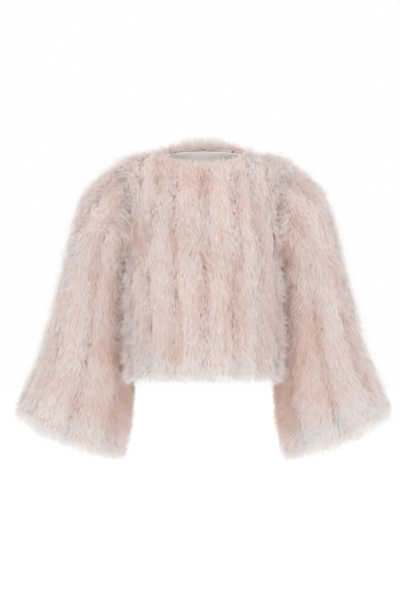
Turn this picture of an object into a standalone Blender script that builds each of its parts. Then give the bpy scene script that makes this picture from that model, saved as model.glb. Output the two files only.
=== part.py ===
"""Cropped feather jacket: a round-necked jacket with an edge-to-edge front and bell sleeves.

Five panels of backing cloth make the jacket: two fronts, a back and two sleeves. Strips of marabou feather
are sewn side by side down each panel, and a narrow facing finishes the inside of the back neck. Each strip is
a solid of the room that its fluff takes up, and it hangs a little past the neck, hem or cuff.

Metres, +Z up, the front towards -Y. Left and right are the wearer's, so the left sleeve is at +X. The origin
is midway between the neck ends of the two shoulder seams, where the shoulders carry the jacket.
"""

from collections import namedtuple

import bmesh
import bpy
import numpy as np

# Heights, with the neck ends of the shoulder seams at zero
HEM_Z = -0.490
UNDERARM_Z = -0.227
SHOULDER_Z = -0.030

# Neck, shoulders and armholes
FRONT_NECK_DROP = 0.045
BACK_NECK_RISE = 0.022
ARMHOLE_BOW = 0.020

# Cloth and seams
CLOTH = 0.002
SEAM_GAP = 0.0004
ARMHOLE_GAP = 0.0021
FRONT_OPENING = 0.0016
FACING_CLOTH = 0.001
FACING_ROWS = 2

# Marabou strips
FRONT_STRIPS = 4
SLEEVE_STRIPS = 8
PILE = 0.034
PILE_GAP = 0.00095
LEAST_PILE = 0.0008
HEM_FLUFF = 0.018
CUFF_FLUFF = 0.028
FRONT_NECK_FLUFF = 0.016
BACK_NECK_FLUFF = 0.026
NECK_LEAN = 0.18

# Swells along a strip: wavelength, share of the pile, and how far each strip's wave is shifted, in radians
LONG_LUMP, LONG_SWELL, LONG_SHIFT = 0.31, 0.07, 2.3
SHORT_LUMP, SHORT_SWELL, SHORT_SHIFT = 0.19, 0.05, 1.1

# The short fluff along a sleeve's inner seam, and how many cells it takes to reach its full height beside it
SEAM_PILE = 0.012
SEAM_CELLS = 5

# Where fluff is pressed between a sleeve and the body
PRESSED_CLEARANCE = 0.0025
PRESSED_LIFT = 0.0024
FACING_COSINE = 0.2
ALIKE_COSINE = 0.5
ARMHOLE_PULL = (1.0, 0.5, 0.2)
SLEEVE_HEAD_RISE = (0.0, 0.5, 0.85)

# The crease from the neck's corner down between two strips
CREASE_LIFT = 0.0036
NECK_CREASE = 0.5
CREASE_WIDTH = 0.12
CREASE_ROWS = 4
CREASE_EDGE = 0.64
NECK_EDGE = 0.10

# How the panels are divided
CELLS_PER_STRIP = 4
LOWER_ROWS = 4
UPPER_ROWS = 8
SLEEVE_ROWS = 10
NECK_SHARE = 0.5
STRIP_EDGE = 0.07
UNDERARM_BARE = 0.90
SLEEVE_START = 0.10
CREASE_ANGLE = 40.0

# How much closer points lie on the panels where the room between them is measured
CLOSER_SLEEVE_ROWS = 6
CLOSER_BODY_ROWS = 4
CLOSER_BODY_CELLS = 3

# Half widths and depths of the torso on a general figure, from the hem up to the neck
TorsoSection = namedtuple("TorsoSection", "z half_width front back")
TORSO = (
    TorsoSection(-0.490, 0.160, 0.112, 0.107),
    TorsoSection(-0.380, 0.161, 0.115, 0.106),
    TorsoSection(-0.300, 0.165, 0.119, 0.108),
    TorsoSection(-0.215, 0.169, 0.121, 0.112),
    TorsoSection(-0.165, 0.181, 0.118, 0.113),
    TorsoSection(-0.120, 0.190, 0.111, 0.111),
    TorsoSection(-0.075, 0.194, 0.100, 0.106),
    TorsoSection(-0.030, 0.194, 0.087, 0.097),
    TorsoSection(0.000, 0.081, 0.052, 0.072),
    TorsoSection(0.030, 0.080, 0.048, 0.066),
)

TORSO_ROUNDING = 0.012

# Sections of the left sleeve below its armhole, each an oval from its outer to its inner point, with its
# front and back hanging a little lower
SleeveSection = namedtuple("SleeveSection", "outer_x outer_z inner_x inner_z middle_y half_depth dip")
SLEEVE = (
    SleeveSection(0.258, -0.092, 0.187, -0.250, 0.010, 0.067, 0.000),
    SleeveSection(0.295, -0.220, 0.190, -0.310, 0.028, 0.068, 0.000),
    SleeveSection(0.326, -0.338, 0.185, -0.408, 0.045, 0.070, 0.004),
    SleeveSection(0.361, -0.460, 0.181, -0.540, 0.055, 0.075, 0.008),
    SleeveSection(0.417, -0.577, 0.198, -0.668, 0.050, 0.080, 0.012),
)

# Height of the fluff across a strip, from one edge to the other, as a share of its full height
PILE_PROFILE = np.array([0.55, 0.92, 1.0, 0.92, 0.55])
FLUFF_TAPER = 0.45
HEM_TAPER = 0.90
NECK_TAPER = 0.55
ARMHOLE_PROFILE = 0.90
SEAM_TAPER = 0.95

FRONT, BACK = -1, 1
BODY_ROWS = LOWER_ROWS + UPPER_ROWS
FRONT_CELLS = FRONT_STRIPS * CELLS_PER_STRIP
SLEEVE_CELLS = SLEEVE_STRIPS * CELLS_PER_STRIP
CELLS_PER_ARMHOLE_ROW = SLEEVE_CELLS // 2 // UPPER_ROWS

MARABOU_SRGB = (0.84, 0.77, 0.74)
BACKING_SRGB = (0.82, 0.78, 0.75)
FACING_SRGB = (0.84, 0.79, 0.76)


def unit(vectors):
    return vectors / np.linalg.norm(vectors, axis=-1, keepdims=True)


def mix(first, second, share):
    return first + (second - first) * share


def smooth_step(low, high, value):
    share = np.clip((value - low) / (high - low), 0.0, 1.0)
    return share * share * (3.0 - 2.0 * share)


def mirrored(points):
    return points * np.array([-1.0, 1.0, 1.0])


def torso(z, column):
    """A size of the torso at a height, read from its sections and rounded where they turn."""
    heights = [row.z for row in TORSO]
    sizes = [getattr(row, column) for row in TORSO]
    steps = np.linspace(-TORSO_ROUNDING, TORSO_ROUNDING, 7)
    return np.mean([np.interp(z + step, heights, sizes) for step in steps], axis=0)


# The body panels


def top_edge(across, side):
    """The neckline, then the shoulder seam: x and z of a panel's top edge at a share of its half width."""
    turn = np.clip(across / NECK_SHARE, 0.0, 1.0) * np.pi / 2
    along = np.clip((across - NECK_SHARE) / (1.0 - NECK_SHARE), 0.0, 1.0)
    neck_z = -FRONT_NECK_DROP if side == FRONT else BACK_NECK_RISE
    shoulder_z = SHOULDER_Z * along
    return torso(shoulder_z, "half_width") * np.sin(turn), neck_z * np.cos(turn) + shoulder_z


def body_point(side, across, row):
    """A point of the left half of the body: across runs from the centre to the side, row upwards."""
    across, row = np.broadcast_arrays(np.asarray(across, float), np.asarray(row, float))
    top_x, top_z = top_edge(across, side)
    lower = np.clip(row / LOWER_ROWS, 0.0, 1.0)
    upper = (1.0 - np.cos(np.pi * np.clip((row - LOWER_ROWS) / UPPER_ROWS, 0.0, 1.0))) / 2
    z = HEM_Z + (UNDERARM_Z - HEM_Z) * lower + (top_z - UNDERARM_Z) * upper
    low_x = torso(np.minimum(z, UNDERARM_Z), "half_width") * np.sin(across * np.pi / 2)
    x = mix(low_x, top_x, upper) - ARMHOLE_BOW * np.sin(np.pi * upper) * across**4
    roundness = np.sqrt(np.clip(1.0 - (x / torso(z, "half_width")) ** 2, 0.0, 1.0))
    depth = torso(z, "front" if side == FRONT else "back") * roundness
    y = side * np.maximum(depth, SEAM_GAP / 2)
    if side == FRONT:
        x = np.maximum(x, FRONT_OPENING / 2)
    return np.stack([x, y, z], axis=-1)


def body_normal(side, across, row):
    """Outward directions of the left half of the body, the same for both panels along a seam."""
    across_step, row_step = 0.04, 0.8
    along_x = body_point(side, np.minimum(across + across_step, 1.0), row)
    along_x = along_x - body_point(side, np.maximum(across - across_step, 0.0), row)
    along_z = body_point(side, across, np.minimum(row + row_step, BODY_ROWS))
    along_z = along_z - body_point(side, across, np.maximum(row - row_step, 0.0))
    normal = unit(np.cross(along_x, along_z) * -side)
    on_side_seam = (across >= 1.0) & (row <= LOWER_ROWS)
    on_shoulder_seam = (across >= NECK_SHARE) & (row >= BODY_ROWS)
    normal[..., 1] = np.where(on_side_seam | on_shoulder_seam, 0.0, normal[..., 1])
    normal[..., 0] = np.where(across <= 0.0, 0.0, normal[..., 0])
    return unit(normal)


def body_half(side, cells=FRONT_CELLS, rows=BODY_ROWS):
    across, row = np.meshgrid(np.linspace(0, 1, cells + 1), np.linspace(0, BODY_ROWS, rows + 1))
    return body_point(side, across, row), body_normal(side, across, row)


# The sleeves


def armhole_ring():
    """The armhole's edge from the shoulder down the front to the underarm, and up the back."""
    row = np.linspace(BODY_ROWS, LOWER_ROWS, UPPER_ROWS + 1)
    steps = np.linspace(0, UPPER_ROWS, SLEEVE_CELLS // 2 + 1)

    def edge(side):
        corners = body_point(side, 1.0, row)
        rows = np.arange(UPPER_ROWS + 1)
        return np.stack([np.interp(steps, rows, corners[:, axis]) for axis in range(3)], axis=-1)

    ring = np.concatenate([edge(FRONT), edge(BACK)[-2::-1]])
    ring[[0, SLEEVE_CELLS // 2, -1], 1] = 0.0
    return ring


def section_ring(section):
    turn = np.linspace(0.0, 2 * np.pi, SLEEVE_CELLS + 1)
    outer = np.array([section.outer_x, section.middle_y, section.outer_z])
    inner = np.array([section.inner_x, section.middle_y, section.inner_z])
    forward = np.array([0.0, -section.half_depth, 0.0])
    lower = section.dip * unit(np.cross(outer - inner, forward))
    oval = (outer + inner) / 2 + np.outer(np.cos(turn), (outer - inner) / 2) + np.outer(np.sin(turn), forward)
    return oval + np.outer(np.sin(turn) ** 2, lower)


def sleeve_surface(rows):
    """The left sleeve as rings of points from the armhole to the cuff, smooth through its sections."""
    armhole = armhole_ring()
    below = [section_ring(section) for section in SLEEVE]
    armhole = armhole + np.array([ARMHOLE_GAP, 0.0, 0.0])
    rings = np.array([armhole, *below])
    last = len(rings) - 1
    surface = []
    for place in np.linspace(0, last, rows + 1):
        start = min(int(place), last - 1)
        share = place - start
        first, second = rings[start], rings[start + 1]
        slope_in = (second - rings[max(start - 1, 0)]) / (1 if start == 0 else 2)
        slope_out = (rings[min(start + 2, last)] - first) / (1 if start + 1 == last else 2)
        surface.append(
            first * (1 + 2 * share) * (1 - share) ** 2
            + slope_in * share * (1 - share) ** 2
            + second * share**2 * (3 - 2 * share)
            + slope_out * share**2 * (share - 1)
        )
    return np.array(surface)


def sleeve_normal(surface):
    down = np.gradient(surface, axis=0)
    ring = surface[:, :-1]
    around = np.roll(ring, -1, axis=1) - np.roll(ring, 1, axis=1)
    around = np.concatenate([around, around[:, :1]], axis=1)
    return unit(np.cross(around, down))


# Where the body and a sleeve meet


def share_armhole_directions(body_directions, sleeve_directions):
    """Turns both sides of each armhole seam to one direction, but not where they face at the underarm.

    Returns how alike the directions were, by body row and by sleeve cell: from 0, facing each other, to 1.
    """
    body_alike = {side: np.ones(BODY_ROWS + 1) for side in (FRONT, BACK)}
    sleeve_alike = np.ones(SLEEVE_CELLS + 1)
    for side in (FRONT, BACK):
        for row in range(LOWER_ROWS, BODY_ROWS + 1):
            cell = (BODY_ROWS - row) * CELLS_PER_ARMHOLE_ROW
            cell = cell if side == FRONT else SLEEVE_CELLS - cell
            on_body = body_directions[side][row, -1].copy()
            on_sleeve = sleeve_directions[0, cell].copy()
            alike = smooth_step(0.0, ALIKE_COSINE, float(on_body @ on_sleeve))
            body_alike[side][row] = sleeve_alike[cell] = alike
            shared = unit(on_body + on_sleeve)
            for step, pull in enumerate(ARMHOLE_PULL):
                body_part = body_directions[side][row, -1 - step]
                body_directions[side][row, -1 - step] = unit(mix(body_part, shared, pull * alike))
                sleeve_part = sleeve_directions[step, cell]
                sleeve_directions[step, cell] = unit(mix(sleeve_part, shared, pull * alike))
    head = sleeve_directions[: len(ARMHOLE_PULL)]
    for cell in range(1, SLEEVE_CELLS, CELLS_PER_ARMHOLE_ROW):
        sleeve_alike[cell] = (sleeve_alike[cell - 1] + sleeve_alike[cell + 1]) / 2
        head[:, cell] = unit(head[:, cell - 1] + head[:, cell + 1])
    head[:, -1] = head[:, 0]
    return body_alike, sleeve_alike


def pressed_height(points, directions, other_points, other_directions):
    """The height left for fluff where a sleeve hangs against the body: half the gap to the facing cloth."""
    points_flat = points.reshape(-1, 3)
    directions_flat = directions.reshape(-1, 3)
    others = other_points.reshape(-1, 3)
    offsets = others[None] - points_flat[:, None]
    facing = directions_flat @ other_directions.reshape(-1, 3).T < FACING_COSINE
    ahead = np.einsum("ijk,ik->ij", offsets, directions_flat) > 0.0
    out_of_reach = 4 * PILE
    distance = np.where(facing & ahead, np.linalg.norm(offsets, axis=-1), out_of_reach).min(axis=1)
    return (distance / 2 - PRESSED_CLEARANCE).reshape(points.shape[:2])


# Solids


def material(name, srgb, roughness):
    made = bpy.data.materials.new(name)
    made.use_nodes = True
    shader = made.node_tree.nodes["Principled BSDF"]
    linear = [channel**2.2 for channel in srgb]
    shader.inputs["Base Color"].default_value = (*linear, 1.0)
    shader.inputs["Roughness"].default_value = roughness
    shader.inputs["Metallic"].default_value = 0.0
    return made


def wall(name, near, far, finish, collection, tube=False):
    """A closed solid between two grids of points, the near one laid out and the far one extruded from it."""
    rows, columns = near.shape[:2]
    shape = bmesh.new()
    bmesh.ops.create_grid(shape, x_segments=columns - 1, y_segments=rows - 1, size=1.0)
    place = shape.verts.layers.int.new("place")
    near_flat = near.reshape(-1, 3)
    far_flat = far.reshape(-1, 3)
    for index, corner in enumerate(shape.verts):
        corner[place] = index
        corner.co = near_flat[index]
    if tube:
        bmesh.ops.remove_doubles(shape, verts=shape.verts[:], dist=1e-6)
    made = bmesh.ops.extrude_face_region(shape, geom=shape.faces[:], use_keep_orig=True)
    for corner in made["geom"]:
        if isinstance(corner, bmesh.types.BMVert):
            corner.co = far_flat[corner[place]]
    bmesh.ops.triangulate(shape, faces=shape.faces[:], quad_method="FIXED")
    bmesh.ops.recalc_face_normals(shape, faces=shape.faces[:])
    mesh = bpy.data.meshes.new(name)
    shape.to_mesh(mesh)
    shape.free()
    mesh.materials.append(finish)
    mesh.shade_smooth()
    mesh.set_sharp_from_angle(angle=np.radians(CREASE_ANGLE))
    solid = bpy.data.objects.new(name, mesh)
    collection.objects.link(solid)
    return solid


def lumps(index, points):
    """Uneven fullness along a strip, by the length of its middle column and different for each strip."""
    steps = np.linalg.norm(np.diff(points[:, CELLS_PER_STRIP // 2], axis=0), axis=-1)
    along = np.concatenate([[0.0], np.cumsum(steps)])[:, None]
    long_swell = LONG_SWELL * np.sin(2 * np.pi * along / LONG_LUMP + LONG_SHIFT * index)
    short_swell = SHORT_SWELL * np.sin(2 * np.pi * along / SHORT_LUMP + SHORT_SHIFT * index)
    return 1.0 + long_swell + short_swell


def strip_columns(grid, first, drawn_in):
    """The columns of a panel's grid under one strip, its two edges drawn in from its neighbours."""
    columns = grid[:, first : first + CELLS_PER_STRIP + 1].copy()
    drawn_in = drawn_in.reshape(*drawn_in.shape, *[1] * (grid.ndim - 2))
    columns[:, 0] = mix(columns[:, 0], columns[:, 1], drawn_in[:, first])
    columns[:, -1] = mix(columns[:, -1], columns[:, -2], drawn_in[:, first + CELLS_PER_STRIP])
    return columns


def strip_grids(points, directions, taper, least_profile, limits, drawn_in, first_lump):
    """Points, directions and heights of each strip of a panel."""
    for index, first in enumerate(range(0, points.shape[1] - 1, CELLS_PER_STRIP)):
        base = strip_columns(points, first, drawn_in)
        shape = np.maximum(PILE_PROFILE, strip_columns(least_profile, first, drawn_in))
        full = PILE * shape * lumps(first_lump + index, base) * strip_columns(taper, first, drawn_in)
        heights = np.minimum(full, strip_columns(limits, first, drawn_in))
        yield base, unit(strip_columns(directions, first, drawn_in)), heights


def strip(name, points, directions, heights, finish, collection):
    base = points + directions * PILE_GAP
    wall(name, base, base + directions * np.maximum(heights, LEAST_PILE)[..., None], finish, collection)


def body_strips(points, directions, limits, across, alike, longest_neck_fluff):
    """The strips of a front or of the back, which run from the neck or shoulder seam to below the hem."""
    near_armhole = np.clip((across - 1.0) * FRONT_STRIPS + 1.0, 0.0, 1.0)
    pressed = near_armhole * (1.0 - alike[:, None])
    near_neck = smooth_step(BODY_ROWS - CREASE_ROWS, BODY_ROWS - 1, np.arange(BODY_ROWS + 1.0))
    crease = NECK_CREASE * np.outer(near_neck, np.exp(-(((across - NECK_SHARE) / CREASE_WIDTH) ** 2)))
    limits = np.minimum(limits, PILE * (1.0 - pressed) * (1.0 - crease))
    drawn_in = STRIP_EDGE + UNDERARM_BARE * np.where(across >= 1.0, pressed, 0.0)
    drawn_in += CREASE_EDGE * crease + NECK_EDGE * near_neck[:, None]
    points = points + directions * (PRESSED_LIFT * pressed + CREASE_LIFT * crease)[..., None]
    upwards = unit(points[-1] - points[-2])
    neck_fluff = longest_neck_fluff * np.clip(1.0 - across / NECK_SHARE, -0.1, 1.0)
    points[-1] += upwards * neck_fluff[:, None]
    points[-1] += directions[-1] * NECK_LEAN * np.maximum(neck_fluff, 0.0)[:, None]
    hanging = points[0] + unit(points[0] - points[1]) * HEM_FLUFF
    points = np.concatenate([hanging[None], points])
    taper = np.ones(points.shape[:2])
    taper[0], taper[1] = FLUFF_TAPER, HEM_TAPER
    taper[-1] = np.where(across < NECK_SHARE, NECK_TAPER, SEAM_TAPER)
    beside_sleeve = ARMHOLE_PROFILE * np.outer(np.arange(BODY_ROWS + 1) > LOWER_ROWS, across >= 1.0)
    directions, limits, drawn_in, beside_sleeve = (
        np.concatenate([grid[:1], grid]) for grid in (directions, limits, drawn_in, beside_sleeve)
    )
    return strip_grids(points, directions, taper, beside_sleeve, limits, drawn_in, first_lump=len(across))


def sleeve_strips(points, directions, limits, alike):
    """The strips of a sleeve, which run from the armhole to below the cuff."""
    from_seam = np.abs(np.arange(SLEEVE_CELLS + 1) - SLEEVE_CELLS // 2) / SEAM_CELLS
    limits = np.minimum(limits, mix(SEAM_PILE, 2 * PILE, smooth_step(0.0, 1.0, from_seam)))
    for row, rise in enumerate(SLEEVE_HEAD_RISE):
        limits[row] = np.minimum(limits[row], PILE * mix(alike, 1.0, rise))
    hanging = points[-1] + unit(points[-1] - points[-2]) * CUFF_FLUFF
    points = np.concatenate([points, hanging[None]])
    start = SLEEVE_START + UNDERARM_BARE * (1.0 - alike)
    points[0] = mix(points[0], points[1], start[:, None])
    taper = np.ones(points.shape[:2])
    taper[-1], taper[-2] = FLUFF_TAPER, HEM_TAPER
    directions, limits = (np.concatenate([grid, grid[-1:]]) for grid in (directions, limits))
    drawn_in = np.full(points.shape[:2], STRIP_EDGE)
    return strip_grids(points, directions, taper, np.zeros_like(taper), limits, drawn_in, first_lump=0)


def back_neck_facing(points, directions, finish, collection):
    """A narrow band against the inside of the back, along the back neck."""
    neck_cells = int(FRONT_CELLS * NECK_SHARE)
    rows = points[-1 - FACING_ROWS :, :neck_cells]
    inward = -directions[-1 - FACING_ROWS :, :neck_cells]
    rows = np.concatenate([mirrored(rows)[:, :0:-1], rows], axis=1)
    inward = np.concatenate([mirrored(inward)[:, :0:-1], inward], axis=1)
    outside = rows + inward * (CLOTH + SEAM_GAP)
    wall("back_neck_facing", outside + inward * FACING_CLOTH, outside, finish, collection)


def main():
    for leftover in list(bpy.data.objects):
        bpy.data.objects.remove(leftover, do_unlink=True)
    jacket = bpy.data.collections.new("cropped_feather_jacket")
    bpy.context.scene.collection.children.link(jacket)
    marabou = material("marabou", MARABOU_SRGB, 0.95)
    backing = material("backing_cloth", BACKING_SRGB, 0.70)
    facing = material("facing_cloth", FACING_SRGB, 0.60)

    body_points, body_directions = {}, {}
    for side in (FRONT, BACK):
        body_points[side], body_directions[side] = body_half(side)
    sleeve_points = sleeve_surface(SLEEVE_ROWS)
    sleeve_directions = sleeve_normal(sleeve_points)

    # Where the pile is pressed, measured against closely spaced points of the facing cloth
    close_sleeve = sleeve_surface(CLOSER_SLEEVE_ROWS * SLEEVE_ROWS)
    close_cells, close_rows = CLOSER_BODY_CELLS * FRONT_CELLS, CLOSER_BODY_ROWS * BODY_ROWS
    close_body = [body_half(side, close_cells, close_rows) for side in (FRONT, BACK)]
    below_hem = np.array([0.0, 0.0, -HEM_FLUFF])
    for share in (0.5, 1.0, 1.5):
        close_body += [(points[:1] + share * below_hem, out[:1]) for points, out in close_body[:2]]
    close_body_points = np.concatenate([points for points, _ in close_body])
    close_body_directions = np.concatenate([directions for _, directions in close_body])
    close_sleeve_out = sleeve_normal(close_sleeve)
    body_limits = {
        side: pressed_height(body_points[side], body_directions[side], close_sleeve, close_sleeve_out)
        for side in (FRONT, BACK)
    }
    sleeve_limits = pressed_height(sleeve_points, sleeve_directions, close_body_points, close_body_directions)
    body_alike, sleeve_alike = share_armhole_directions(body_directions, sleeve_directions)

    front, front_out = body_points[FRONT], body_directions[FRONT]
    back, back_out = body_points[BACK], body_directions[BACK]
    whole_back = np.concatenate([mirrored(back)[:, :0:-1], back], axis=1)
    whole_back_out = np.concatenate([mirrored(back_out)[:, :0:-1], back_out], axis=1)
    wall("back", whole_back, whole_back - whole_back_out * CLOTH, backing, jacket)
    back_neck_facing(back, back_out, facing, jacket)

    back_limits = np.concatenate([body_limits[BACK][:, :0:-1], body_limits[BACK]], axis=1)
    half_across = np.linspace(0, 1, FRONT_CELLS + 1)
    back_across = np.concatenate([half_across[:0:-1], half_across])
    strips = body_strips(
        whole_back, whole_back_out, back_limits, back_across, body_alike[BACK], BACK_NECK_FLUFF
    )
    for number, grids in enumerate(strips, start=1):
        strip(f"marabou_back_{number}", *grids, marabou, jacket)

    for hand, flip in (("left", np.array), ("right", mirrored)):
        wall(f"front_{hand}", flip(front), flip(front - front_out * CLOTH), backing, jacket)
        inside = sleeve_points - sleeve_directions * CLOTH
        wall(f"sleeve_{hand}", flip(sleeve_points), flip(inside), backing, jacket, tube=True)
        panels = {
            "front": body_strips(
                front, front_out, body_limits[FRONT], half_across, body_alike[FRONT], FRONT_NECK_FLUFF
            ),
            "sleeve": sleeve_strips(sleeve_points, sleeve_directions, sleeve_limits, sleeve_alike),
        }
        for panel, strips in panels.items():
            for number, (points, directions, heights) in enumerate(strips, start=1):
                name = f"marabou_{panel}_{hand}_{number}"
                strip(name, flip(points), flip(directions), heights, marabou, jacket)


main()
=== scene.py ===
"""Looks of the cropped feather jacket: plumes on its strips, cloth shells in its panels, and a studio.

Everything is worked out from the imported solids, in their frame: metres, +Z up, the front towards -Y. The
solid of a strip is the room that its fluff takes up. The plumes are rooted on the panel behind it, and thin
out at the solid's surface.
"""

from collections import namedtuple

import bmesh
import bpy
import numpy as np
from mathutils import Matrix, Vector
from mathutils.bvhtree import BVHTree
from mathutils.kdtree import KDTree


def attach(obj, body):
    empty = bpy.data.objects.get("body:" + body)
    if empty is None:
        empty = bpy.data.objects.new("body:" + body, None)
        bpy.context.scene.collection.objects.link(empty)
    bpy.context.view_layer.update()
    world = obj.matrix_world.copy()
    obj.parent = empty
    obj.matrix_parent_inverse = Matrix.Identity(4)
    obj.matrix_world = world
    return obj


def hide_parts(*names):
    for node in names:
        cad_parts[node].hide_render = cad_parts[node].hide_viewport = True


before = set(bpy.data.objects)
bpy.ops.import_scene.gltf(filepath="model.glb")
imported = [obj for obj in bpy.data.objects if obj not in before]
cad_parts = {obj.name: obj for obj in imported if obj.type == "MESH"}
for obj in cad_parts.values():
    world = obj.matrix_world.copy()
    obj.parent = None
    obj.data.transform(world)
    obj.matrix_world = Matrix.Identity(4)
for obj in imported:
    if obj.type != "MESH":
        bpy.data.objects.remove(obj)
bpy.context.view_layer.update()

# The view: distance from the origin, the frame's height there, and where the middle of the picture lies
CAMERA_DISTANCE = 3.2
FRAME_HEIGHT = 1.38
FRAME_MIDDLE_X = -0.009
FRAME_MIDDLE_Z = -0.327
SENSOR_MM = 36.0

# Studio: a key light beside the camera and a soft top light
FLOOR_Z = -1.30
FLOOR_SIZE = 24.0
FLOOR_GREY = 0.94
FLOOR_ROUGHNESS = 0.9
FLOOR_GLOW = 0.2
SKY_STRENGTH = 1.0
KEY_POWER = 7.0
KEY_SIZE = 2.4
KEY_PLACE = (0.4, -3.2, 0.5)
TOP_POWER = 16.0
TOP_SIZE = 1.6
TOP_PLACE = (0.0, -1.0, 2.0)

# The plumes' colours in sRGB, from root to tip and from pinker to paler, and how they take the light
ROOT_TO_TIP = ((0.0, (243, 221, 212)), (0.45, (246, 233, 227)), (1.0, (246, 245, 244)))
PINK_TO_PALE = ((0.0, (247, 227, 219)), (0.5, (254, 250, 248)), (1.0, (255, 255, 255)))
PLUME_ROUGHNESS = 0.9
PLUME_SHINE = 0.1
PLUME_THROUGH = 0.25

# The cloths' colours in sRGB, with a faint cloud between the two, and their weave
ClothLook = namedtuple("ClothLook", "light dark roughness")
BACKING = ClothLook((228, 216, 208), (221, 207, 199), 0.55)
FACING = ClothLook((253, 250, 246), (250, 246, 241), 0.50)
CLOUD_SCALE = 28.0
CLOUD_DETAIL = 5.0
CLOUD_RANGE = (0.30, 0.70)
GLOSS_SPREAD = 0.06
SHEEN = 0.2
THREAD = 0.0012
WEAVE_WAVER = 0.6
WEAVE_STRENGTH = 0.25
WEAVE_RELIEF = 0.0003

# Plumes: loose groups of soft barbs that lie along the pile
PLUMES = 24000
BARE_TRIES = 32000
BARBS = 16
PILE = 0.034
BARE_PILE = 0.018
BARE_DISTANCE = 0.004
LEAST_FULLNESS = 0.35
PLUME_TURN = 0.16
PLUME_WIDTH = 0.012
PLUME_LENGTH = (-0.022, 0.009)
SIDE_WEIGHT = 0.80
END_WEIGHT = 2.0
END_REACH = 0.004
SIDEWAYS_FLOW = 0.35
SLEEVE_FAN = 0.40

# How far plumes look for another panel's, how much of the room between they fill or lean across, how far they
# come and turn out of a groove, and how far they level out
ROOM = 0.040
FILLED = 0.75
LEANING = 0.45
OUT_OF_GROOVE = 0.060
GROOVE_MIDDLE_Y = 0.015
GROOVE_TURN = 2.0
BESIDE = 0.012
LEVEL_REACH = 0.022
LEVELLED = 0.80

# Barbs: how long and wide they are, and how high they start and end as shares of the pile
BARB_LENGTH = (0.016, 0.034)
BARB_WIDTH = (0.0005, 0.0010)
BARB_ROOT = (0.48, 0.74)
BARB_TIP = (0.62, 0.97)
END_TIP = 0.25
END_ROOT = 0.3
BARB_SPLAY = 0.22
BARB_BULGE = 0.08
BARB_CURL = 0.12
BARB_TILT = 0.10
BARB_CLEARANCE = 0.0015

# Strays: the thin barbs that stand out past the rest, as a soft halo
STRAYS = 0.36
STRAY_RISE = 0.0095
STRAY_MOST = 0.019
STRAY_SIDES = (0.62, 1.30)
STRAY_DRIFT = 0.6
STRAY_LENGTH = 0.6
STRAY_WIDTH = 0.6

# The neck, where plumes stand up, in its middle and at its corners, lean inwards and lie lower beside it
NECK_HALF_WIDTH = 0.094
NECK_HEIGHTS = {"front": -0.045, "back": 0.022}
NECK_STAND = {"front": (0.009, 0.009), "back": (0.014, 0.0)}
NECK_BAND = 0.030
NECK_INWARD = 0.5
NECK_DIP = 0.30
NECK_DIP_X = 0.095
NECK_DIP_WIDTH = 0.040

# Tone, from pinker at 0 to paler at 1: what the plumes have, how it shifts along the jacket, and the painted
# light and shade laid on it
TONE = 0.42
PLUME_TONE = 0.06
BARB_TONE = 0.04
PATCH_TONE = 0.22
PATCH_SEED = 19
PATCH_WAVES = 14
PATCH_SIZES = (0.055, 0.055, 0.14)
# Painted shade: plumes are paler on the ridges and pinker where the pile lies lower, in the furrows where
# shade falls
FURROW_PAINTED_SHADE = 0.60
RIDGE_HEIGHT = 0.80
# Painted shade: plumes are pinker in the grooves between the body and the sleeves, where shade falls; the two
# ranges below tell where a groove lies
GROOVE_PAINTED_SHADE = 0.40
SLEEVE_GROOVE = (-0.35, 0.65)
BODY_GROOVE = (0.85, 1.0)
# Painted light: plumes are paler on the tops, the outer sides and the body's rounded edges, where light falls
# on them
SIDE_PAINTED_LIGHT = 0.20
SIDE_FACING = (0.5, 0.95)
STRAY_TONE = 0.40

# Fringes of paler plumes, painted light where light shines through the thin fluff or falls on it: at the open
# ends, past the cloth, on the sleeves' outer sides and on the tops. An open end lies where its shares of the
# distance from the middle plane and of z add up to its place.
OpenEnd = namedtuple("OpenEnd", "x_share z_share place")
CUFF = OpenEnd(0.486, -0.874, 0.690)
HEM = OpenEnd(0.0, -1.0, 0.506)
FRINGE_PAINTED_LIGHT = 0.78
END_FRINGE_PAINTED_LIGHT = 0.60
END_FRINGE_WIDTH = 0.058
SIDE_FRINGE_PAINTED_LIGHT = 0.30
OVERHANG = 0.025

# Partings where the plumes lie apart and their pinker roots show, from one x and z to another
Parting = namedtuple("Parting", "panel start end width depth")
PARTINGS = (
    Parting("front", (0.026, -0.073), (0.040, -0.206), 0.006, 0.75),
    Parting("front", (-0.002, -0.234), (0.011, -0.340), 0.006, 0.80),
    Parting("front", (-0.064, -0.201), (-0.058, -0.340), 0.005, 0.60),
    Parting("front", (-0.053, -0.340), (-0.051, -0.471), 0.005, 0.55),
    Parting("front", (0.042, -0.336), (0.048, -0.457), 0.005, 0.60),
    Parting("front", (0.086, -0.354), (0.093, -0.448), 0.005, 0.50),
    Parting("front", (0.077, -0.128), (0.086, -0.298), 0.005, 0.50),
    Parting("front", (-0.157, -0.157), (-0.146, -0.208), 0.006, 0.60),
    Parting("front", (-0.117, -0.036), (-0.097, -0.097), 0.007, 0.55),
    Parting("sleeve_right", (-0.216, -0.295), (-0.200, -0.384), 0.006, 0.55),
    Parting("sleeve_right", (-0.227, -0.436), (-0.173, -0.516), 0.007, 0.60),
    Parting("sleeve_right", (-0.193, -0.543), (-0.168, -0.584), 0.006, 0.55),
    Parting("sleeve_left", (0.205, -0.300), (0.190, -0.420), 0.006, 0.50),
    Parting("sleeve_left", (0.230, -0.450), (0.195, -0.560), 0.006, 0.50),
    Parting("back", (-0.048, -0.060), (-0.040, -0.190), 0.006, 0.65),
    Parting("back", (0.004, -0.170), (-0.006, -0.330), 0.006, 0.70),
    Parting("back", (0.058, -0.090), (0.050, -0.260), 0.005, 0.55),
    Parting("back", (-0.092, -0.250), (-0.100, -0.420), 0.006, 0.60),
    Parting("back", (0.104, -0.280), (0.098, -0.450), 0.005, 0.55),
)
PARTED_ASIDE = 0.002
PARTED_DEPTH = 0.40
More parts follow.
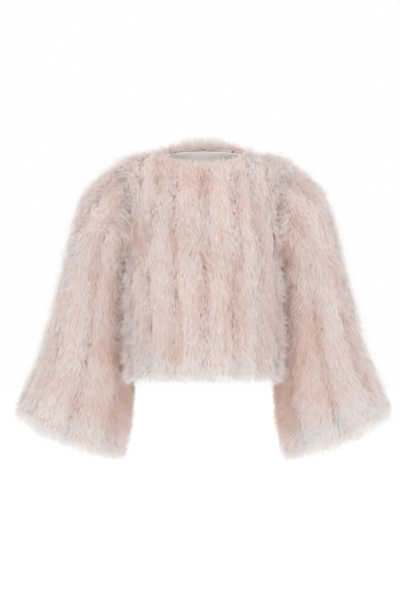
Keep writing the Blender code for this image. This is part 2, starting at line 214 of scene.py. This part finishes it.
# In a parting the plumes turn pinker, partly for their pinker roots and partly as painted shade in the furrow
PARTED_ROOTS_AND_SHADE = 0.60

# The down under the plumes
DOWN_HEIGHT = 0.60
DOWN_LUMP = 0.0030
DOWN_PLACE = 0.30
DOWN_TONE = (0.45, 0.12)

# Cloth shells, and the axes of the body and a sleeve, which tell the way out of the jacket
CLOTH = 0.0012
CLOTH_LEVELS = 2
OUTER_COSINE = 0.3
BODY_AXIS_TOP = -0.15
SLEEVE_AXIS = ((0.185, 0.0, -0.13), (0.30, 0.05, -0.61))

# Creases in the cloth, each a soft trough from one point to another
Crease = namedtuple("Crease", "panel start end width depth")
CREASES = (
    Crease("back", (-0.090, 0.09, -0.16), (-0.060, 0.09, -0.47), 0.016, 0.0035),
    Crease("back", (0.020, 0.10, -0.24), (0.035, 0.10, -0.49), 0.013, 0.0025),
    Crease("back", (0.110, 0.08, -0.19), (0.080, 0.09, -0.44), 0.020, 0.0040),
    Crease("front", (0.060, -0.11, -0.20), (0.050, -0.10, -0.49), 0.015, 0.0030),
    Crease("front", (0.120, -0.08, -0.24), (0.105, -0.08, -0.45), 0.019, 0.0038),
    Crease("sleeve", (0.230, -0.04, -0.20), (0.270, -0.03, -0.60), 0.017, 0.0040),
    Crease("sleeve", (0.200, 0.06, -0.27), (0.225, 0.12, -0.55), 0.014, 0.0030),
    Crease("sleeve", (0.290, 0.08, -0.25), (0.360, 0.11, -0.58), 0.020, 0.0042),
    Crease("sleeve", (0.185, 0.02, -0.33), (0.262, -0.02, -0.40), 0.012, 0.0025),
)

# The map that colours the plumes, under the name that the export keeps
PLUME_MAP = "OFBake"

# How near points are one point, as a distance and as digits of a metre, and what is taken for no length
WELD = 1e-6
WELD_DIGITS = 5
NO_LENGTH = 1e-9

GAMMA = 2.2
KITE_POINTS = 4
UP = np.array([0.0, 0.0, 1.0])
Skin = namedtuple("Skin", "tree triangles normals")


def unit(vectors):
    return vectors / np.maximum(np.linalg.norm(vectors, axis=-1, keepdims=True), NO_LENGTH)


def mix(first, second, share):
    return first + (second - first) * share


def along(vectors, normals):
    """The part of each vector that lies along a surface with those normals, as a unit vector."""
    return unit(vectors - normals * (vectors * normals).sum(axis=-1, keepdims=True))


def linear(srgb):
    return tuple((channel / 255) ** GAMMA for channel in srgb)


# Materials


def new_material(name):
    made = bpy.data.materials.new(name)
    made.use_nodes = True
    return made, made.node_tree.nodes, made.node_tree.links


def colour_ramp(nodes, stops):
    ramp = nodes.new("ShaderNodeValToRGB")
    elements = ramp.color_ramp.elements
    while len(elements) < len(stops):
        elements.new(0.5)
    for element, (place, srgb) in zip(elements, stops):
        element.position = place
        element.color = (*linear(srgb), 1.0)
    return ramp


def marabou_material():
    """Pinker roots and paler tips, read from the plumes' map: tone across, root to tip upwards."""
    made, nodes, links = new_material("marabou_plumes")
    shader = nodes["Principled BSDF"]
    shader.inputs["Roughness"].default_value = PLUME_ROUGHNESS
    shader.inputs["Specular IOR Level"].default_value = PLUME_SHINE
    place = nodes.new("ShaderNodeUVMap")
    place.uv_map = PLUME_MAP
    axes = nodes.new("ShaderNodeSeparateXYZ")
    links.new(place.outputs["UV"], axes.inputs["Vector"])
    length = colour_ramp(nodes, ROOT_TO_TIP)
    links.new(axes.outputs["Y"], length.inputs["Fac"])
    tone = colour_ramp(nodes, PINK_TO_PALE)
    links.new(axes.outputs["X"], tone.inputs["Fac"])
    tinted = nodes.new("ShaderNodeMix")
    tinted.data_type = "RGBA"
    tinted.blend_type = "MULTIPLY"
    tinted.inputs["Factor"].default_value = 1.0
    links.new(length.outputs["Color"], tinted.inputs["A"])
    links.new(tone.outputs["Color"], tinted.inputs["B"])
    links.new(tinted.outputs["Result"], shader.inputs["Base Color"])
    through = nodes.new("ShaderNodeBsdfTranslucent")
    links.new(tinted.outputs["Result"], through.inputs["Color"])
    both = nodes.new("ShaderNodeMixShader")
    both.inputs["Fac"].default_value = PLUME_THROUGH
    links.new(shader.outputs["BSDF"], both.inputs[1])
    links.new(through.outputs["BSDF"], both.inputs[2])
    links.new(both.outputs["Shader"], nodes["Material Output"].inputs["Surface"])
    return made


def cloth_material(name, look):
    """A smooth woven cloth with a fine diagonal weave and a faint unevenness of colour."""
    made, nodes, links = new_material(name)
    shader = nodes["Principled BSDF"]
    shader.inputs["Sheen Weight"].default_value = SHEEN
    place = nodes.new("ShaderNodeTexCoord")
    cloud = nodes.new("ShaderNodeTexNoise")
    cloud.inputs["Scale"].default_value = CLOUD_SCALE
    cloud.inputs["Detail"].default_value = CLOUD_DETAIL
    links.new(place.outputs["Object"], cloud.inputs["Vector"])
    ramp = colour_ramp(nodes, ((CLOUD_RANGE[0], look.dark), (CLOUD_RANGE[1], look.light)))
    links.new(cloud.outputs["Fac"], ramp.inputs["Fac"])
    links.new(ramp.outputs["Color"], shader.inputs["Base Color"])
    weave = nodes.new("ShaderNodeTexWave")
    weave.bands_direction = "DIAGONAL"
    weave.inputs["Scale"].default_value = 1.0 / THREAD
    weave.inputs["Distortion"].default_value = WEAVE_WAVER
    links.new(place.outputs["Object"], weave.inputs["Vector"])
    relief = nodes.new("ShaderNodeBump")
    relief.inputs["Strength"].default_value = WEAVE_STRENGTH
    relief.inputs["Distance"].default_value = WEAVE_RELIEF
    links.new(weave.outputs["Fac"], relief.inputs["Height"])
    links.new(relief.outputs["Normal"], shader.inputs["Normal"])
    gloss = nodes.new("ShaderNodeMapRange")
    gloss.inputs["To Min"].default_value = look.roughness - GLOSS_SPREAD
    gloss.inputs["To Max"].default_value = look.roughness + GLOSS_SPREAD
    links.new(cloud.outputs["Fac"], gloss.inputs["Value"])
    links.new(gloss.outputs["Result"], shader.inputs["Roughness"])
    return made


def floor_material():
    made, nodes, _ = new_material("studio_floor")
    shader = nodes["Principled BSDF"]
    shader.inputs["Base Color"].default_value = (FLOOR_GREY, FLOOR_GREY, FLOOR_GREY, 1.0)
    shader.inputs["Roughness"].default_value = FLOOR_ROUGHNESS
    shader.inputs["Emission Color"].default_value = (1.0, 1.0, 1.0, 1.0)
    shader.inputs["Emission Strength"].default_value = FLOOR_GLOW
    return made


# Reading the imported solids


def triangles_of(node):
    """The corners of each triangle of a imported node: triangles by 3 corners by 3 coordinates."""
    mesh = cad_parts[node].data
    mesh.calc_loop_triangles()
    points = np.empty(len(mesh.vertices) * 3)
    corners = np.empty(len(mesh.loop_triangles) * 3, np.int32)
    mesh.vertices.foreach_get("co", points)
    mesh.loop_triangles.foreach_get("vertices", corners)
    return points.reshape(-1, 3)[corners].reshape(-1, 3, 3)


def hand_of(panel):
    return -1.0 if panel.endswith("right") else 1.0


def outward(points, panel):
    """The way out of the jacket at each point: away from the body's axis, or from a sleeve's."""
    if not panel.startswith("sleeve"):
        axis = np.zeros_like(points)
        axis[:, 2] = np.minimum(points[:, 2], BODY_AXIS_TOP)
        return unit(points - axis)
    top, end = (np.array(place) * (hand_of(panel), 1.0, 1.0) for place in SLEEVE_AXIS)
    share = np.maximum((points - top) @ (end - top) / ((end - top) @ (end - top)), 0.0)
    return unit(points - (top + share[:, None] * (end - top)))


def outer_side(panel):
    """The triangles of a panel that face out of the jacket, and the ways that they face."""
    triangles = triangles_of(panel)
    normals = unit(np.cross(triangles[:, 1] - triangles[:, 0], triangles[:, 2] - triangles[:, 0]))
    outer = (outward(triangles.mean(axis=1), panel) * normals).sum(axis=-1) > OUTER_COSINE
    return triangles[outer], normals[outer]


def sizes_of(triangles):
    first, second, third = triangles.transpose(1, 0, 2)
    return np.linalg.norm(np.cross(second - first, third - first), axis=-1) / 2


def tree_from(triangles):
    faces = np.arange(len(triangles) * 3).reshape(-1, 3)
    return BVHTree.FromPolygons(triangles.reshape(-1, 3).tolist(), faces.tolist())


def skin_of(panel):
    """A panel's outer side, and the way that it faces at each corner, smoothed over the triangles there."""
    triangles, normals = outer_side(panel)
    _, corners = np.unique(np.round(triangles.reshape(-1, 3), WELD_DIGITS), axis=0, return_inverse=True)
    corners = corners.ravel()
    sums = np.zeros((corners.max() + 1, 3))
    np.add.at(sums, corners, np.repeat(normals * sizes_of(triangles)[:, None], 3, axis=0))
    return Skin(tree_from(triangles), triangles, unit(sums)[corners].reshape(-1, 3, 3))


def nearest(skin, points):
    """The nearest point of a panel's outer side to each point, and the way that the panel faces there."""
    found = [skin.tree.find_nearest(Vector(point)) for point in points]
    places = np.array([hit[0] for hit in found])
    chosen = np.array([hit[2] for hit in found])
    start, second, third = skin.triangles[chosen].transpose(1, 0, 2)
    whole = np.cross(second - start, third - start)
    shares = [
        (np.cross(*sides) * whole).sum(axis=-1) / (whole**2).sum(axis=-1)
        for sides in ((places - start, third - start), (second - start, places - start))
    ]
    shares = np.stack([1.0 - shares[0] - shares[1], *shares], axis=-1)
    return places, unit((skin.normals[chosen] * shares[..., None]).sum(axis=1))


def panel_of(strip):
    return strip.removeprefix("marabou_").rsplit("_", 1)[0]


def add_piece(name, mesh, node):
    piece = bpy.data.objects.new(name, mesh)
    bpy.context.scene.collection.objects.link(piece)
    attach(piece, "root")
    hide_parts(node)
    return piece


# Plumes


def surface_samples(triangles, skin, panel, count, random):
    """Random points on the outer side and ends of a strip, fewer on the sides that face its neighbours."""
    edges = triangles[:, 1:] - triangles[:, :1]
    cross = np.cross(edges[:, 0], edges[:, 1])
    size = np.linalg.norm(cross, axis=-1)
    feet, panel_normals = nearest(skin, triangles.mean(axis=1))
    flow, _ = flow_at(feet, panel_normals, panel)
    facing = np.clip((unit(cross) * panel_normals).sum(axis=-1) + SIDE_WEIGHT, 0.0, 1.0)
    ending = np.clip((unit(cross) * flow).sum(axis=-1), 0.0, 1.0)
    weight = size * (facing + END_WEIGHT * ending)
    chosen = random.choice(len(triangles), count, p=weight / weight.sum())
    shares = random.random((count, 2))
    shares = np.where(shares.sum(axis=1, keepdims=True) > 1.0, 1.0 - shares, shares)
    return triangles[chosen, 0] + (edges[chosen] * shares[..., None]).sum(axis=1)


def smooth_step(low, high, value):
    share = np.clip((value - low) / (high - low), 0.0, 1.0)
    return share * share * (3.0 - 2.0 * share)


def flow_at(feet, normals, panel):
    """The way that plumes lie and how far they stand: down, fanning out on a sleeve, and up at the neck."""
    part = panel.split("_")[0]
    if part == "sleeve":
        down = -UP + SLEEVE_FAN * outward(feet, panel)
        return along(down, normals), np.zeros(len(feet))
    lean = {"front": -SIDEWAYS_FLOW, "back": SIDEWAYS_FLOW}[part]
    down = np.broadcast_to(-UP + lean * np.array([0.0, 1.0, 0.0]), feet.shape)
    across = feet[:, 0] / NECK_HALF_WIDTH
    within = np.clip(1.0 - across**2, 0.0, 1.0)
    below = NECK_HEIGHTS[part] * np.sqrt(within) - feet[:, 2]
    stands = (1.0 - smooth_step(0.0, NECK_BAND, below)) * (within > 0.0)
    inwards = np.outer(-NECK_INWARD * across**3, (1.0, 0.0, 0.0))
    return unit(mix(along(down, normals), UP + inwards, stands[:, None])), stands


def partings_at(points, facing, panel):
    """How deep the nearest partings are at each point, and how far they push plumes along X."""
    depth = np.zeros(len(points))
    aside = np.zeros(len(points))
    flat = points[:, [0, 2]]
    for parting in PARTINGS:
        if not panel.startswith(parting.panel):
            continue
        start, end = np.array(parting.start), np.array(parting.end)
        share = np.clip((flat - start) @ (end - start) / ((end - start) @ (end - start)), 0.0, 1.0)
        offset = flat - (start + share[:, None] * (end - start))
        strength = np.exp(-((offset / parting.width) ** 2).sum(axis=-1)) * facing
        depth = np.maximum(depth, parting.depth * strength)
        aside += np.sign(offset[:, 0]) * strength
    return depth, aside * PARTED_ASIDE


def set_height(points, skin, height):
    """Moves points to the given height above a panel, along the way that it faces, and returns that way."""
    under, normal = nearest(skin, points)
    above = ((points - under) * normal).sum(axis=-1)
    return points + normal * (np.maximum(height, BARB_CLEARANCE) - above)[:, None], normal


def kites(start, middle, end, facing, width):
    """Thin bent kites, two triangles each, as points and as triangles by point number."""
    across = unit(np.cross(end - start, facing)) * width[:, None] / 2
    points = np.stack([start, middle - across, middle + across, end], axis=1)
    corners = np.array([[0, 2, 1], [1, 2, 3]])
    triangles = corners[None] + KITE_POINTS * np.arange(len(start))[:, None, None]
    return points.reshape(-1, 3), triangles.reshape(-1, 3)


def room_beside(places, normals, others):
    """The room between the plumes at each place and another panel's, or none where the way out is open."""
    hits = [others.ray_cast(Vector(place), Vector(normal), ROOM)[3] for place, normal in zip(places, normals)]
    return np.array([0.0 if hit is None else hit for hit in hits])


def patch_waves():
    """Long waves at random angles, whose sum makes uneven patches: their steps per metre and starts."""
    random = np.random.default_rng(PATCH_SEED)
    steps = random.normal(size=(PATCH_WAVES, 3)) / np.array(PATCH_SIZES)
    return steps, random.uniform(0.0, 2 * np.pi, PATCH_WAVES)


def plume_tones_and_painted_shading(panel, surface, normal, ridge, random):
    """The tone of each plume, in uneven patches.

    Painted light and shade lie on top of that: it is paler on the ridges, the body's rounded edges, the outer
    sides and the tops, where light falls, and pinker in the furrows and in the grooves between the body and
    the sleeves, where shade falls.
    """
    steps, starts = patch_waves()
    patches = np.sin(surface @ steps.T * np.pi + starts).sum(axis=1) / np.sqrt(PATCH_WAVES)
    # Painted shade in the furrows: pinker where the pile lies lower than on the ridges
    tone = TONE + PATCH_TONE * patches + FURROW_PAINTED_SHADE * (ridge / PILE - RIDGE_HEIGHT)
    if panel.startswith("sleeve"):
        outer = normal[:, 0] * hand_of(panel)
        groove_shade_share = smooth_step(*SLEEVE_GROOVE, -outer)
    else:
        # This is 1 where the body faces halfway between the front or back and a side
        outer = 2.0 * np.abs(normal[:, 0] * normal[:, 1])
        groove_shade_share = smooth_step(*BODY_GROOVE, np.abs(normal[:, 0]))
    # Painted light on the tops and outer sides, where the tone turns paler, and painted shade in the grooves,
    # where it turns pinker
    tone += SIDE_PAINTED_LIGHT * smooth_step(*SIDE_FACING, np.maximum(outer, normal[:, 2])) - GROOVE_PAINTED_SHADE * groove_shade_share
    return tone + random.normal(0.0, PLUME_TONE, len(surface))


def fringe_painted_light_at(panel, surface, normal, overhang):
    """How far each place lies into the paler edges of painted light, from 0 to 1: light shining through the
    thin fluff at the open ends and past the cloth, and falling on the tops and outer sides.
    """
    end, facing = HEM, normal[:, 2]
    if panel.startswith("sleeve"):
        end, facing = CUFF, np.maximum(facing, normal[:, 0] * hand_of(panel))
    way = end.x_share * np.abs(surface[:, 0]) + end.z_share * surface[:, 2]
    at_end = END_FRINGE_PAINTED_LIGHT * smooth_step(end.place - END_FRINGE_WIDTH, end.place, way)
    at_side = SIDE_FRINGE_PAINTED_LIGHT * smooth_step(*SIDE_FACING, facing)
    return np.maximum(np.clip(overhang, 0.0, 1.0), np.maximum(at_end, at_side))


def level_heights(surface, height):
    """Raises low places towards the highest ones nearby."""
    near = KDTree(len(surface))
    for number, place in enumerate(surface):
        near.insert(place, number)
    near.balance()
    highest = [max(height[hit[1]] for hit in near.find_range(place, LEVEL_REACH)) for place in surface]
    return mix(height, np.array(highest), LEVELLED)


def pile_at(surface, skin, others):
    """What lies under each place and beside it.

    In turn: the panel under it, the way that faces, the height of the strip and of its levelled pile, how far
    it hangs past the cloth, its lean beside a groove, and the way out of that groove along Y.
    """
    foot, normal = nearest(skin, surface)
    offset = surface - foot
    height = np.maximum((offset * normal).sum(axis=-1), BARB_CLEARANCE)
    overhang = np.sqrt(np.maximum((offset**2).sum(axis=-1) - height**2, 0.0)) / OVERHANG
    level = level_heights(surface, height)
    room = room_beside(surface, normal, others)
    level = np.where(room > 0.0, np.minimum(level, height + FILLED * room), level)
    beside_neck = np.exp(-(((np.abs(foot[:, 0]) - NECK_DIP_X) / NECK_DIP_WIDTH) ** 2))
    level *= 1.0 - NECK_DIP * beside_neck * np.clip(normal[:, 2], 0.0, 1.0)
    beside = unit(np.cross(normal, UP))
    gaps = [room_beside(surface, way, others) for way in (beside, -beside)]
    lean = beside * (LEANING * (gaps[0] - gaps[1]))[:, None]
    hidden = np.clip(np.maximum(room, np.maximum(*gaps)) / BESIDE, 0.0, 1.0) * (1.0 - np.abs(normal[:, 1]))
    ways_out = np.where(surface[:, 1] < GROOVE_MIDDLE_Y, -hidden, hidden)
    lean[:, 1] += OUT_OF_GROOVE * ways_out
    return foot, normal, height, level, overhang, lean, ways_out


def plumes(panel, surface, pile, skin, random):
    """Plumes about the given places: points, triangles, and each point's tone and place from root to tip."""
    foot, normal, ridge, height, overhang, lean, ways_out = pile
    # Painted light: the plumes turn paler at the open ends, past the cloth and on the tops and outer sides
    fringe_painted_light = fringe_painted_light_at(panel, surface, normal, overhang)
    tone = mix(plume_tones_and_painted_shading(panel, surface, normal, ridge, random), FRINGE_PAINTED_LIGHT, fringe_painted_light)
    fullness = np.clip(np.linalg.norm(surface - foot, axis=-1) / PILE, LEAST_FULLNESS, 1.0)
    flow, stands = flow_at(foot, normal, panel)
    side = np.cross(normal, flow)
    flow = unit(flow + side * random.normal(0.0, PLUME_TURN, len(surface))[:, None])

    surface, height, overhang, fringe_painted_light, lean, ways_out, tone, fullness, flow, stands, side, normal = (
        np.repeat(grid, BARBS, axis=0)
        for grid in (
            surface, height, overhang, fringe_painted_light, lean, ways_out, tone, fullness, flow, stands, side, normal
        )
    )
    count = len(surface)
    stray = random.random(count) < STRAYS
    rise = stray * fullness * np.minimum(random.exponential(STRAY_RISE, count), STRAY_MOST)
    rise *= mix(*STRAY_SIDES, np.abs(normal[:, 0]))
    past_cloth = np.maximum(smooth_step(0.0, 1.0, overhang), stands)
    beside = random.normal(0.0, PLUME_WIDTH, count)
    past_end = np.clip(overhang, 0.0, 1.0) * random.uniform(0.0, END_REACH, count)
    further = random.uniform(*PLUME_LENGTH, count) * fullness + past_end + STRAY_DRIFT * rise
    if not panel.startswith("sleeve"):
        middle, corner = NECK_STAND[panel.split("_")[0]]
        further += stands * mix(middle, corner, np.clip(surface[:, 0] / NECK_HALF_WIDTH, -1.0, 1.0) ** 2)
    end = surface + side * (beside * fullness * (1.0 + past_cloth))[:, None] + flow * further[:, None]
    towards_view = np.clip(normal[:, 1] if panel == "back" else -normal[:, 1], 0.0, 1.0)
    parted, aside = partings_at(end, towards_view, panel)
    end[:, 0] += aside
    depth = 1.0 - PARTED_DEPTH * parted
    lowest_tip = mix(BARB_TIP[0], END_TIP, past_cloth)
    tip_share = np.where(stray, 1.0, random.uniform(lowest_tip, BARB_TIP[1]))
    end, end_normal = set_height(end, skin, height * tip_share * depth + rise)
    end += lean * (random.random(count) * (1.0 - past_cloth))[:, None]

    splay = random.normal(0.0, BARB_SPLAY, count) + beside / PLUME_WIDTH * BARB_SPLAY
    length = random.uniform(*BARB_LENGTH, count) * fullness * np.where(stray, STRAY_LENGTH, 1.0)
    start = end - unit(flow + side * splay[:, None]) * length[:, None]
    root_share = random.uniform(*BARB_ROOT, count) * mix(1.0, END_ROOT, past_cloth)
    start, _ = set_height(start, skin, height * root_share * depth)
    curl = random.normal(0.0, BARB_CURL, count)
    middle = (start + end) / 2 + (end_normal * BARB_BULGE + side * curl[:, None]) * length[:, None]
    facing = end_normal + BARB_TILT * random.normal(size=start.shape)
    facing[:, 1] += GROOVE_TURN * ways_out
    width = random.uniform(*BARB_WIDTH, count) * np.where(stray, STRAY_WIDTH, 1.0)
    points, triangles = kites(start, middle, end, facing, width)

    # Pinker in the partings: partly the roots that show there, partly painted shade
    tone = tone + random.normal(0.0, BARB_TONE, count) + STRAY_TONE * stray - PARTED_ROOTS_AND_SHADE * parted
    # The painted light also moves those barbs' places on the map towards the paler tips
    deep, high = (np.clip(share * depth + fringe_painted_light, 0.0, 1.0) for share in (root_share, tip_share))
    root_to_tip = np.stack([deep, (deep + high) / 2, (deep + high) / 2, high], axis=1).ravel()
    tone = np.repeat(np.clip(tone, 0.0, 1.0), KITE_POINTS)
    return points, triangles, np.stack([tone, root_to_tip], axis=-1)


def bare_places(panel, strips, others, random):
    """Ends for plumes where a panel's cloth would show between strips, and the nearest strip's number."""
    triangles, normals = outer_side(panel)
    sizes = sizes_of(triangles)
    chosen = random.choice(len(triangles), BARE_TRIES, p=sizes / sizes.sum())
    shares = random.dirichlet((1.0, 1.0, 1.0), len(chosen))
    feet = (triangles[chosen] * shares[..., None]).sum(axis=1)
    corners = [triangles_of(strip) for strip in strips]
    numbers = np.repeat(np.arange(len(strips)), [len(part) for part in corners])
    strips_tree = tree_from(np.concatenate(corners))
    found = [strips_tree.find_nearest(Vector(foot)) for foot in feet]
    bare = np.array([hit[3] for hit in found]) > BARE_DISTANCE
    feet, normal = feet[bare], normals[chosen[bare]]
    owners = numbers[[hit[2] for hit, kept in zip(found, bare) if kept]]
    room = room_beside(feet + normal * BARE_DISTANCE, normal, others)
    height = np.where(room > 0.0, np.minimum(BARE_PILE, FILLED * room), BARE_PILE)
    return feet + normal * height[:, None], owners


def down_core(node, skin, random):
    """The dense down under a strip's plumes: its solid pressed towards the panel, with soft lumps."""
    shape = bmesh.new()
    shape.from_mesh(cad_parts[node].data)
    bmesh.ops.remove_doubles(shape, verts=shape.verts[:], dist=WELD)
    bmesh.ops.subdivide_edges(shape, edges=shape.edges[:], cuts=1, use_grid_fill=True)
    bmesh.ops.triangulate(shape, faces=shape.faces[:])
    points = np.array([corner.co for corner in shape.verts])
    triangles = np.array([[corner.index for corner in face.verts] for face in shape.faces])
    shape.free()
    foot, normal = nearest(skin, points)
    above = ((points - foot) * normal).sum(axis=-1)
    overhang = np.sqrt(np.maximum(((points - foot) ** 2).sum(axis=-1) - above**2, 0.0)) / OVERHANG
    points = foot + (points - foot) * (DOWN_HEIGHT * (1.0 - np.clip(overhang, 0.0, 1.0)))[:, None]
    lump = DOWN_LUMP * np.linalg.norm(points - foot, axis=-1) / PILE
    points += random.normal(size=points.shape) * lump[:, None]
    tone = np.clip(random.normal(*DOWN_TONE, len(points)), 0.0, 1.0)
    return points, triangles, np.stack([tone, np.full(len(points), DOWN_PLACE)], axis=-1)


def mesh_of(name, layers, finish):
    """One mesh of several layers, each with its points, triangles and places on the map."""
    starts = np.cumsum([0] + [len(points) for points, _, _ in layers])
    points = np.concatenate([points for points, _, _ in layers])
    triangles = np.concatenate([part + start for (_, part, _), start in zip(layers, starts)])
    places = np.concatenate([places for _, _, places in layers])
    mesh = bpy.data.meshes.new(name)
    mesh.vertices.add(len(points))
    mesh.vertices.foreach_set("co", points.astype(np.float32).ravel())
    mesh.loops.add(triangles.size)
    mesh.loops.foreach_set("vertex_index", triangles.astype(np.int32).ravel())
    mesh.polygons.add(len(triangles))
    mesh.polygons.foreach_set("loop_start", np.arange(0, triangles.size, 3, dtype=np.int32))
    mesh.update(calc_edges=True)
    layer = mesh.uv_layers.new(name=PLUME_MAP)
    layer.uv.foreach_set("vector", places[triangles.ravel()].astype(np.float32).ravel())
    mesh.materials.append(finish)
    mesh.shade_smooth()
    return mesh


def feather_strips(finish):
    strips = sorted(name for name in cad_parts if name.startswith("marabou_"))
    panels = sorted({panel_of(strip) for strip in strips})
    triangles = {strip: triangles_of(strip) for strip in strips}
    sizes = {strip: sizes_of(triangles[strip]).sum() for strip in strips}
    whole = sum(sizes.values())
    for seed, panel in enumerate(panels):
        random = np.random.default_rng(seed)
        skin = skin_of(panel)
        members = [strip for strip in strips if panel_of(strip) == panel]
        others = tree_from(np.concatenate([triangles[strip] for strip in strips if strip not in members]))
        bare, owners = bare_places(panel, members, others, random)
        places, owner = [bare], [owners]
        for number, strip in enumerate(members):
            count = round(PLUMES * sizes[strip] / whole)
            places.append(surface_samples(triangles[strip], skin, panel, count, random))
            owner.append(np.full(count, number))
        places, owner = np.concatenate(places), np.concatenate(owner)
        pile = pile_at(places, skin, others)
        for number, strip in enumerate(members):
            own = owner == number
            own_plumes = plumes(panel, places[own], [grid[own] for grid in pile], skin, random)
            name = strip.replace("marabou", "plumes")
            mesh = mesh_of(name, [down_core(strip, skin, random), own_plumes], finish)
            add_piece(name, mesh, strip)


# Cloth shells


def crease_depths(points, panel):
    depth = np.zeros(len(points))
    for crease in CREASES:
        if not panel.startswith(crease.panel):
            continue
        start, end = (np.array(place) * (hand_of(panel), 1.0, 1.0) for place in (crease.start, crease.end))
        share = (points - start) @ (end - start) / ((end - start) @ (end - start))
        beside = np.linalg.norm(points - (start + np.clip(share, 0.0, 1.0)[:, None] * (end - start)), axis=-1)
        depth += crease.depth * np.exp(-((beside / crease.width) ** 2))
    return depth


def cloth_shell(node, panel, finish):
    """A panel's outer side as a thin shell of cloth, with its creases pressed inwards."""
    shape = bmesh.new()
    shape.from_mesh(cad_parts[node].data)
    bmesh.ops.remove_doubles(shape, verts=shape.verts[:], dist=WELD)
    middles = np.array([face.calc_center_median() for face in shape.faces])
    normals = np.array([face.normal for face in shape.faces])
    inside = (outward(middles, panel) * normals).sum(axis=-1) < OUTER_COSINE
    faces = [face for face, hidden in zip(shape.faces[:], inside) if hidden]
    bmesh.ops.delete(shape, geom=faces, context="FACES")
    bmesh.ops.join_triangles(
        shape, faces=shape.faces[:], angle_face_threshold=np.pi, angle_shape_threshold=np.pi
    )
    mesh = bpy.data.meshes.new(node)
    shape.to_mesh(mesh)
    shape.free()
    draft = bpy.data.objects.new(node + "_draft", mesh)
    bpy.context.scene.collection.objects.link(draft)
    smooth = draft.modifiers.new("smooth", "SUBSURF")
    smooth.levels = smooth.render_levels = CLOTH_LEVELS
    smooth.boundary_smooth = "PRESERVE_CORNERS"
    fine = bpy.data.meshes.new_from_object(draft.evaluated_get(bpy.context.evaluated_depsgraph_get()))
    bpy.data.objects.remove(draft)
    points = np.array([corner.co for corner in fine.vertices])
    points -= outward(points, panel) * crease_depths(points, panel)[:, None]
    fine.vertices.foreach_set("co", points.astype(np.float32).ravel())
    fine.update()
    fine.materials.clear()
    fine.materials.append(finish)
    fine.shade_smooth()
    piece = add_piece("cloth_" + node, fine, node)
    wall = piece.modifiers.new("wall", "SOLIDIFY")
    wall.thickness = CLOTH
    wall.offset = -1.0


# Studio


def soft_light(name, power, size, place):
    lamp = bpy.data.lights.new(name, "AREA")
    lamp.size = size
    lamp.energy = power
    light = bpy.data.objects.new(name, lamp)
    light.location = place
    aim = Vector((0.0, 0.0, FRAME_MIDDLE_Z)) - light.location
    light.rotation_euler = aim.to_track_quat("-Z", "Y").to_euler()
    bpy.context.scene.collection.objects.link(light)


def studio():
    scene = bpy.context.scene
    scene.view_settings.view_transform = "Standard"
    world = bpy.data.worlds.new("studio_light")
    world.use_nodes = True
    world.node_tree.nodes["Background"].inputs["Color"].default_value = (1.0, 1.0, 1.0, 1.0)
    world.node_tree.nodes["Background"].inputs["Strength"].default_value = SKY_STRENGTH
    scene.world = world

    bpy.ops.mesh.primitive_plane_add(size=FLOOR_SIZE, location=(0.0, 0.0, FLOOR_Z))
    floor = bpy.context.object
    floor.name = "floor"
    floor.data.materials.append(floor_material())

    soft_light("key", KEY_POWER, KEY_SIZE, KEY_PLACE)
    soft_light("top", TOP_POWER, TOP_SIZE, TOP_PLACE)

    lens = bpy.data.cameras.new("camera")
    lens.sensor_width = SENSOR_MM
    lens.lens = SENSOR_MM * CAMERA_DISTANCE / FRAME_HEIGHT
    camera = bpy.data.objects.new("camera", lens)
    camera.location = (FRAME_MIDDLE_X, -CAMERA_DISTANCE, FRAME_MIDDLE_Z)
    camera.rotation_euler = (np.pi / 2, 0.0, 0.0)
    scene.collection.objects.link(camera)
    scene.camera = camera


def main():
    studio()
    backing = cloth_material("backing_cloth", BACKING)
    facing = cloth_material("facing_cloth", FACING)
    cloth_shell("back", "back", backing)
    cloth_shell(
        "back_neck_facing", "facing", facing
    )
    for hand in ("left", "right"):
        for part in ("front", "sleeve"):
            node = f"{part}_{hand}"
            cloth_shell(node, node, backing)
    feather_strips(marabou_material())


main()
